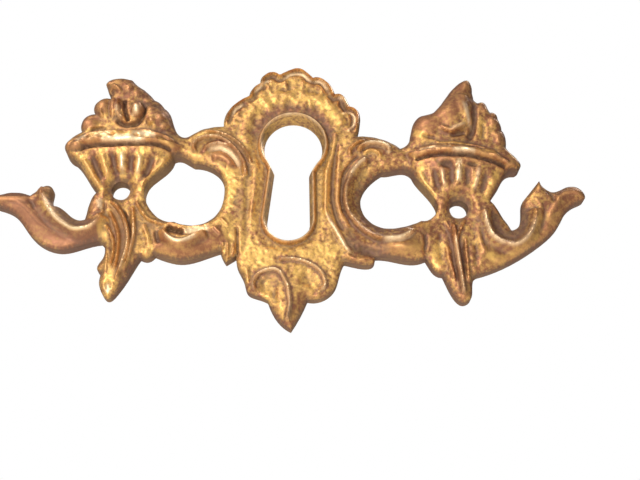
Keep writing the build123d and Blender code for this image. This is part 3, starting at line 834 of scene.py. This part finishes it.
    # painted shade on the right flank, which faces away from the light
    paint_dirt_and_shade(0.35, [(-20.6, 13.6), (-18.2, 11), (-16.8, 8.8)], 1.6)
    stipple(0.1, [(-27.8, 9), (-26.2, 11.5), (-24.4, 14.5)], 1.8)
    gild(0.05, [(-27.8, 9.2), (-26.2, 11.7), (-24.4, 12.2)], 1.6)
    gild(1, [(-27.4, 7.7), (-26.2, 8.1), (-25.2, 8.3)], 0.6)
    gild(0.1, [(-21.3, 11.6), (-21.5, 10.6)], 1)
    # painted highlights on the berry's lower part and the crescent; painted shade in the ring and the gap
    # round the berry
    add_highlight_and_polish(1, [(-21.1, 11.5), (-21.3, 10.7), (-21.5, 10)], 0.7)
    add_highlight_and_polish(1, crescent[1:], 0.42)
    paint_dirt_and_shade(0.9, moat, 0.6)
    paint_dirt_and_shade(0.8, gap[:3], 0.55)
    gild(0.1, [(-22.8, 13.4), (-22.8, 11.4)], 1)


def right_urn():
    bowl(22.5, 1.1, 6.6, 4.6, 7.2, 3, 4.7)
    ribs = [[(17, 5), (17.4, 3.7), (18.1, 2.4), (19.1, 1.2)],
            [(19.9, 5.2), (20.1, 3.9), (20.5, 2.4)],
            [(22.15, 5.8), (22.15, 4.4), (22.2, 2.9)],
            [(24.9, 5.6), (24.7, 3.9), (24.3, 2.2)],
            [(27.2, 4.6), (26.6, 3), (26, 1.4)]]
    grooves = [[(18.9, 5.2), (19.2, 3.8), (19.8, 2.1)],
               [(21.1, 5.8), (21.2, 4.4), (21.5, 2.8)],
               [(23.4, 5.6), (23.4, 4), (23.2, 2.6)],
               [(26, 5), (25.7, 3.5), (25.2, 1.9)]]
    gadroons(ribs, grooves, 0.3)
    swell((20.6, 5.6), 1.2, 0.8, -0.6)
    swell((24, 5.7), 1.1, 0.5, -0.5)
    dome((22.15, 5.2), 0.5, 0.9, 5)
    gild(0.1, ribs[1], 0.6)
    gild(0.2, ribs[3], 0.6)
    gild(0.3, [(22.15, 2.9), (20, 1.2), (25, 1.2)], 0.9)
    # painted highlights on the ribs
    add_highlight_and_polish(1, [(22.15, 6.4), (22.15, 5), (22.2, 3.2)], 0.55)
    add_highlight_and_polish(0.4, ribs[1], 0.4)
    add_highlight_and_polish(0.4, ribs[3], 0.4)
    lip = [(15.6, 7.2), (17.8, 7.6), (20.1, 7.75), (22.4, 7.7), (24.6, 7.5), (26.9, 7.1), (29.4, 6.1)]
    under = [(16.3, 6.3), (18.9, 6.8), (21.1, 6.8), (23.1, 6.85), (25, 6.65), (27.6, 6.2), (29.2, 5.6)]
    roll(lip, (2.8, 4.1, 4.7, 4.9, 4.7, 4.3, 3.4), 1.15)
    ridge([(x, z + 0.7) for x, z in under], 0.4, 0.5, 0.6)
    ridge([(18.6, 8.8), (20.4, 8.8), (22.2, 8.9), (24.4, 8.8), (26.4, 8.2), (27.6, 7.7)], 0.4, 0.35, 0.45)
    ridge(under, -0.7, 0.35, 0.45, fade=0.5)
    roughen(lip, 1.1, 0.2)
    swell((20.6, 8.1), 0.9, 0.35, -0.5, 10)
    swell((18.4, 7.7), 1.2, 0.3, -0.3, 8)
    swell((23.8, 8.2), 0.8, 0.3, -0.35, -5)
    swell((25.4, 7.9), 1, 0.3, -0.3, -12)
    dome((29.2, 6.2), 1.4, 1.1, 3.8, -28)
    stipple(0.6, lip, 1.2)
    gild(0.25, lip, 1.4)
    gild(1, [(19.4, 8.9), (21.2, 9), (23.4, 8.9)], 0.35)
    gild(0.9, [(24.6, 8), (26.2, 7.6), (27.2, 7.3)], 0.35)
    # painted highlights on the lip; painted shadow under it and in the dents at the bowl's top
    add_highlight_and_polish(1, [(21, 7.4), (22.6, 7.6), (24.4, 7.4)], 0.7)
    add_highlight_and_polish(0.45, [(16.8, 7.6), (19, 7.9), (21.4, 8)], 0.6)
    paint_dirt_and_shade(0.9, [(19.6, 6.6), (21.2, 6.7), (23, 6.8), (24.6, 6.6)], 0.5)
    paint_dirt_and_shade(0.9, [(25.6, 6.4), (27.4, 6.1)], 0.5)
    paint_dirt_and_shade(0.8, [(19.6, 6), (20.6, 5.8)], 0.8)
    paint_dirt_and_shade(0.8, [(23.5, 5.6), (24.2, 5.4)], 0.5)
    # flames
    swell((21.4, 13), 4.4, 4.2, 1.2, 40)
    swell((18, 11.2), 2.2, 2.2, 0.5)
    ridge([(22.9, 16.4), (22.7, 14.6), (23.3, 12.9), (23.7, 11.6)], 0.45, 0.8, 1.4, fade=0.6)
    ridge([(19.4, 11.1), (20.4, 10.7), (21.2, 10.6), (22.2, 11.3), (23.2, 11.8)], 0.45, 0.5)
    cleft = [(24.3, 15.4), (24.35, 13), (24.1, 10.9), (23.4, 9.6)]
    ridge(cleft, -0.5, 0.6, 0.9)
    ridge([(23.4, 10.9), (22.2, 10.3), (20.8, 9.9)], -0.4, 0.45)
    ridge([(25.5, 12.6), (25.6, 11.2), (25.4, 9.6)], -0.3, 0.6)
    swell((25.7, 14.3), 1, 0.9, 0.3)
    swell((26.9, 12.6), 0.9, 1.1, 0.35)
    swell((27.5, 10.4), 1.1, 1.4, 0.4)
    ridge([(17, 9.9), (18.2, 9.7), (19.4, 9.5)], -0.3, 0.4)
    flame = [(17.4, 11.6), (20, 12.8), (22.4, 16.5)]
    stipple(0.15, flame, 2.6)
    gild(0.05, flame, 2.8)
    gild(0.1, [(25.8, 14.4), (27.4, 12.4), (28, 10.4)], 1.3)
    gild(1, [(25.3, 12.6), (25.3, 10.4)], 0.8)
    gild(1, [(16.5, 10.2), (17.6, 9.8)], 0.6)
    paint_dirt_and_shade(0.4, cleft, 0.7)
    # painted highlights along the flame's ridges
    add_highlight_and_polish(0.7, [(22.6, 15), (23, 13.6), (23.5, 12.2), (23.8, 11)], 0.5)
    add_highlight_and_polish(0.4, [(20.6, 10.6), (22, 11.2), (23.2, 11.9)], 0.4)


# ---- the cast skin
hole_ground = 1.6               # height that the ground dips to at the pin holes


def pin_holes():
    """The ground dips a little towards each hole, and the walls are darkened with painted shade."""
    for side in (-1, 1):
        gap = np.hypot(X - side * HOLE_X, Z)
        dip = 0.75 * (1 - step_up((gap - 0.9) / 1.6))
        height[:] -= (height - hole_ground) * dip
        dirt_and_shade[:] += (0.7 - dirt_and_shade) * (1 - step_up((gap - 1) / 0.8))


def cast_skin():
    """Lumps left by the mould, and the stippled ground."""
    away = step_up((to_keyhole - 0.5) / 0.8)
    uneven = 0.035 * noise(points, 1.6, 1) + 0.02 * noise(points, 0.8, 2)
    pitted = 0.06 * noise(points, 0.55, 3) + 0.035 * noise(points, 0.28, 4)
    height[:] += away * (uneven + pitted * (0.08 + 0.92 * grain))


edge_round = 0.2
lowest, highest = 0.1, 5.95     # inside the CAD plate, which is 6 thick


def round_edges():
    """Brings the outer edges to their own height, with a rounded corner above the side walls."""
    inner = step_up(to_edge / 0.4)
    height[:] = edge_height + (height - edge_height) * inner
    corner = np.clip(1 - to_edge / edge_round, 0, 1)
    height[:] -= edge_round * (1 - np.sqrt(1 - corner ** 2))


body()
gold -= 0.28 * step_up((X - 6) / 4)     # the right half is browner
panel()
crest()
left_arm()
right_arm()
left_leaf()
right_leaf()
left_swag()
left_tab()
left_scroll()
right_scroll()
tail()
left_urn()
right_urn()
keyhole_collar()
pin_holes()
cast_skin()
round_edges()
height = np.clip(height, lowest, highest)


# ---- crests lightened by wear and a painted highlight, hollows darkened by painted shade
def blurred(values, rounds):
    """The values averaged again and again with those of the neighbouring front points."""
    a, b, c = front_triangles.T
    here = np.concatenate([a, b, c, b, c, a])
    there = np.concatenate([b, c, a, a, b, c])
    count = np.bincount(here, minlength=len(values))
    for _ in range(rounds):
        values = 0.4 * values + 0.6 * np.bincount(here, values[there], len(values)) / count
    return values


fine_relief = height - blurred(height, 6)
broad_relief = height - blurred(height, 70)
# crests are lightened towards a pale rubbed colour: partly wear, partly a painted highlight
crest_wear_and_highlight = np.clip(fine_relief / 0.05, 0, 1) * 0.7 + np.clip(broad_relief / 0.35, 0, 1) * 0.2
# hollow paints shade into the relief's hollows, and a little onto the keyhole's wall
hollow = np.clip(-fine_relief / 0.06, 0, 1) * 0.6 + np.clip(-broad_relief / 0.35, 0, 1) * 0.75
keyhole_wall = 1 - step_up((to_keyhole - 0.3) / 0.2)
crest_wear_and_highlight *= 1 - keyhole_wall
hollow += (0.15 - hollow) * keyhole_wall


# ---- the casting as one closed mesh
wall_rows = 4


def back_points():
    """A coarse even field of points for the flat back, well inside the outlines."""
    field = field_of(back_step, back_step)
    return field[distances(tree_along(loops.values()), field) > 0.4 * back_step]


def casting_mesh():
    """Front, side walls and back, joined at the same outline points."""
    outline_count = len(outline_points)
    front = np.stack([X, -height, Z], 1)
    places = [front]
    faces = [tuple(triangle) for triangle in front_triangles]
    rows = [np.arange(outline_count)]
    total = len(front)
    for row in range(1, wall_rows + 1):
        ring = front[:outline_count].copy()
        ring[:, 1] *= 1 - row / wall_rows
        places.append(ring)
        rows.append(total + np.arange(outline_count))
        total += outline_count
    start = 0
    for loop in loops.values():
        here = start + np.arange(len(loop))
        after = np.roll(here, -1)
        for upper, lower in zip(rows, rows[1:]):
            faces += list(zip(upper[here], lower[here], lower[after], upper[after]))
        start += len(loop)
    field = back_points()
    _, flat_triangles = triangles_between(outline_points, field)
    rough = 0.06 * (1 + noise(field, 2, 11)) / 2
    places.append(np.stack([field[:, 0], -rough, field[:, 1]], 1))
    numbers = np.concatenate([rows[-1], total + np.arange(len(field))])
    faces += [tuple(numbers[triangle[::-1]]) for triangle in flat_triangles]
    mesh = bpy.data.meshes.new("casting")
    mesh.from_pydata((np.vstack(places) * MM).tolist(), [], [tuple(map(int, face)) for face in faces])
    mesh.validate()
    for name, values, on_back in (("gold", gold, 0.45), ("grain", grain, 0.6), ("dirt_and_shade", dirt_and_shade, 0.3),
                                  ("highlight_and_polish", highlight_and_polish, 0), ("crest", crest_wear_and_highlight, 0.1),
                                  ("hollow", hollow, 0)):
        walls = np.tile(values[:outline_count], wall_rows)
        back = np.full(len(field), on_back)
        attribute = mesh.attributes.new(name, "FLOAT", "POINT")
        attribute.data.foreach_set("value", np.concatenate([values, walls, back]).astype(np.float32))
    mesh.polygons.foreach_set("use_smooth", [True] * len(mesh.polygons))
    mesh.set_sharp_from_angle(angle=math.radians(55))
    return mesh


def placed(name, data):
    """A new object in the scene."""
    thing = bpy.data.objects.new(name, data)
    bpy.context.scene.collection.objects.link(thing)
    return thing


casting = placed("casting", casting_mesh())
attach(casting, "root")
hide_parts("cast_plate")


# ---- aged brass
def colour(red, green, blue):
    """An sRGB colour, 0 to 255, as the shader's linear one."""
    linear = [((part / 255 + 0.055) / 1.055) ** 2.4 for part in (red, green, blue)]
    return (*linear, 1)


COPPER_BROWN = colour(142, 93, 66)
GILDED = colour(230, 186, 104)
# the colour of old dirt, also used to paint shade
SHADE_AND_DIRT = colour(123, 98, 84)
# pale rubbed colour of worn crests, which also paints their highlight
RUBBED_AND_HIGHLIGHT = colour(218, 158, 106)
# pale colour of painted highlights and of polished wear
HIGHLIGHT_AND_POLISH_COLOUR = colour(255, 226, 182)
PALE = colour(236, 234, 230)


class Nodes:
    """Short ways to add and join shader nodes; inputs go by name or by number."""

    def __init__(self, tree):
        self.tree = tree

    def add(self, kind, inputs=(), **settings):
        node = self.tree.nodes.new("ShaderNode" + kind)
        for name, value in settings.items():
            setattr(node, name, value)
        for name, value in dict(inputs).items():
            self.put(node.inputs[name], value)
        return node

    def put(self, socket, value):
        if isinstance(value, bpy.types.NodeSocket):
            self.tree.links.new(value, socket)
        else:
            socket.default_value = value

    def attribute(self, name):
        return self.add("Attribute", attribute_name=name).outputs["Fac"]

    def math(self, operation, *values, clamp=False):
        inputs = dict(enumerate(values))
        return self.add("Math", inputs, operation=operation, use_clamp=clamp).outputs[0]

    def noise(self, coordinates, scale, detail=3):
        inputs = {"Vector": coordinates, "Scale": scale, "Detail": detail, "Roughness": 0.6}
        return self.add("TexNoise", inputs).outputs["Fac"]

    def spread(self, value, low, high, out_low=0, out_high=1):
        inputs = {"Value": value, "From Min": low, "From Max": high, "To Min": out_low, "To Max": out_high}
        return self.add("MapRange", inputs, clamp=True).outputs["Result"]

    def mix(self, share, first, second):
        return self.add("Mix", {0: share, 6: first, 7: second}, data_type="RGBA").outputs[2]


def aged_brass():
    material = bpy.data.materials.new("aged_brass")
    material.use_nodes = True
    nodes = Nodes(material.node_tree)
    shader = material.node_tree.nodes["Principled BSDF"]
    place = nodes.add("TexCoord").outputs["Object"]
    patches = nodes.noise(place, 380)
    mottle = nodes.noise(place, 1900)
    specks = nodes.noise(place, 3600, 2)
    grain_here = nodes.attribute("grain")
    # gilding comes and goes in blotches, more so on the stippled ground
    blotches = nodes.math("MULTIPLY", nodes.spread(mottle, 0.34, 0.66, -0.5, 0.5),
                          nodes.spread(grain_here, 0, 1, 0.35, 1))
    gilding = nodes.math("ADD", nodes.attribute("gold"), blotches)
    gilding = nodes.math("ADD", gilding, nodes.spread(patches, 0.3, 0.7, -0.22, 0.22), clamp=True)
    base = nodes.mix(gilding, COPPER_BROWN, GILDED)
    # darker with dirt and painted shade: the hollow mask paints shade into hollows, the other mask paints
    # dirt and shade, and the specks add dirt to the grain
    shade_and_dirt_share = nodes.math("ADD", nodes.attribute("hollow"), nodes.attribute("dirt_and_shade"))
    shade_and_dirt_share = nodes.math("MULTIPLY", shade_and_dirt_share, nodes.spread(mottle, 0.3, 0.65, 0.45, 1), clamp=True)
    speckle = nodes.math("MULTIPLY", nodes.spread(specks, 0.54, 0.7), grain_here)
    shade_and_dirt_share = nodes.math("ADD", shade_and_dirt_share, nodes.math("MULTIPLY", speckle, 0.45), clamp=True)
    base = nodes.mix(nodes.math("MULTIPLY", shade_and_dirt_share, 0.8), base, SHADE_AND_DIRT)
    # lighter on crests: wear and a painted highlight
    base = nodes.mix(nodes.math("MULTIPLY", nodes.attribute("crest"), 0.5), base, RUBBED_AND_HIGHLIGHT)
    # painted highlights and polished wear: pale, and a little smoother
    highlight_and_polish_share = nodes.math("MULTIPLY", nodes.attribute("highlight_and_polish"), nodes.spread(mottle, 0.3, 0.5, 0.7, 1.1),
                          clamp=True)
    base = nodes.mix(highlight_and_polish_share, base, HIGHLIGHT_AND_POLISH_COLOUR)
    nodes.put(shader.inputs["Base Color"], base)
    nodes.put(shader.inputs["Metallic"], 0.7)
    roughness = nodes.math("ADD", nodes.spread(mottle, 0.3, 0.7, 0.38, 0.5),
                           nodes.math("MULTIPLY", shade_and_dirt_share, 0.25))
    roughness = nodes.math("SUBTRACT", roughness, nodes.math("MULTIPLY", highlight_and_polish_share, 0.08))
    nodes.put(shader.inputs["Roughness"], roughness)
    scratches = nodes.noise(place, 6000, 4)
    bump = nodes.add("Bump", {"Strength": 0.35, "Distance": 0.00004, "Height": scratches})
    nodes.put(shader.inputs["Normal"], bump.outputs["Normal"])
    return material


casting.data.materials.append(aged_brass())


# ---- camera, light and floor
view_tilt = math.radians(20)        # the camera looks up at the plate from below
view_roll = math.radians(3.13)
camera_place = Vector((4.3, -150.1, -59.3)) * MM
lens_length = 67.5


def add_camera():
    data = bpy.data.cameras.new("camera")
    data.lens = lens_length
    data.sensor_width = 36
    data.clip_start = 5 * MM
    camera = placed("camera", data)
    forward = Vector((0, math.cos(view_tilt), math.sin(view_tilt)))
    upright = Vector((0, -math.sin(view_tilt), math.cos(view_tilt)))
    side = Vector((1, 0, 0))
    right = side * math.cos(view_roll) + upright * math.sin(view_roll)
    up = upright * math.cos(view_roll) - side * math.sin(view_roll)
    turn = [(right[row], up[row], -forward[row], camera_place[row]) for row in range(3)]
    camera.matrix_world = Matrix([*turn, (0, 0, 0, 1)])
    bpy.context.scene.camera = camera


def add_light(name, place, size, watts, tint):
    data = bpy.data.lights.new(name, "AREA")
    data.shape = "DISK"
    data.size = size
    data.energy = watts
    data.color = tint
    light = placed(name, data)
    light.location = place
    light.rotation_euler = (-Vector(place)).to_track_quat("-Z", "Y").to_euler()


def add_world():
    """White behind the plate; what the metal reflects is dimmer, and brightest in front on the left."""
    world = bpy.data.worlds.new("studio")
    world.use_nodes = True
    bpy.context.scene.world = world
    nodes = Nodes(world.node_tree)
    world.node_tree.nodes.clear()
    direction = nodes.add("TexCoord").outputs["Generated"]
    split = nodes.add("SeparateXYZ", {"Vector": direction})
    front = nodes.spread(split.outputs["Y"], -0.9, 0.6, 0.78, 0.2)
    left = nodes.spread(split.outputs["X"], -0.8, 0.8, 1.25, 0.6)
    strength = nodes.math("MULTIPLY", front, left)
    studio = nodes.add("Background", {"Color": (1.0, 0.96, 0.94, 1), "Strength": strength})
    white = nodes.add("Background", {"Color": (1, 1, 1, 1), "Strength": 1.0})
    seen = nodes.add("LightPath").outputs["Is Camera Ray"]
    mixed = nodes.add("MixShader", {0: seen, 1: studio.outputs[0], 2: white.outputs[0]})
    nodes.add("OutputWorld", {"Surface": mixed.outputs[0]})


def add_floor():
    mesh = bpy.data.meshes.new("floor")
    half, level = 1.5, -0.12
    corners = [(-half, -half, level), (half, -half, level), (half, half, level), (-half, half, level)]
    mesh.from_pydata(corners, [], [(0, 1, 2, 3)])
    floor = placed("floor", mesh)
    material = bpy.data.materials.new("pale_floor")
    material.use_nodes = True
    shader = material.node_tree.nodes["Principled BSDF"]
    looks = {"Base Color": PALE, "Roughness": 0.8, "Emission Color": PALE, "Emission Strength": 0.25}
    for name, value in looks.items():
        shader.inputs[name].default_value = value
    mesh.materials.append(material)


add_camera()
add_light("key", (-0.07, -0.19, -0.05), 0.07, 0.22, (1.0, 0.97, 0.92))
add_light("fill", (-0.20, -0.20, 0.22), 0.20, 0.5, (1.0, 0.95, 0.88))
add_light("behind", (0.15, 0.30, 0.30), 0.25, 0.8, (1.0, 0.96, 0.9))
add_world()
add_floor()
bpy.context.scene.view_settings.view_transform = "Standard"
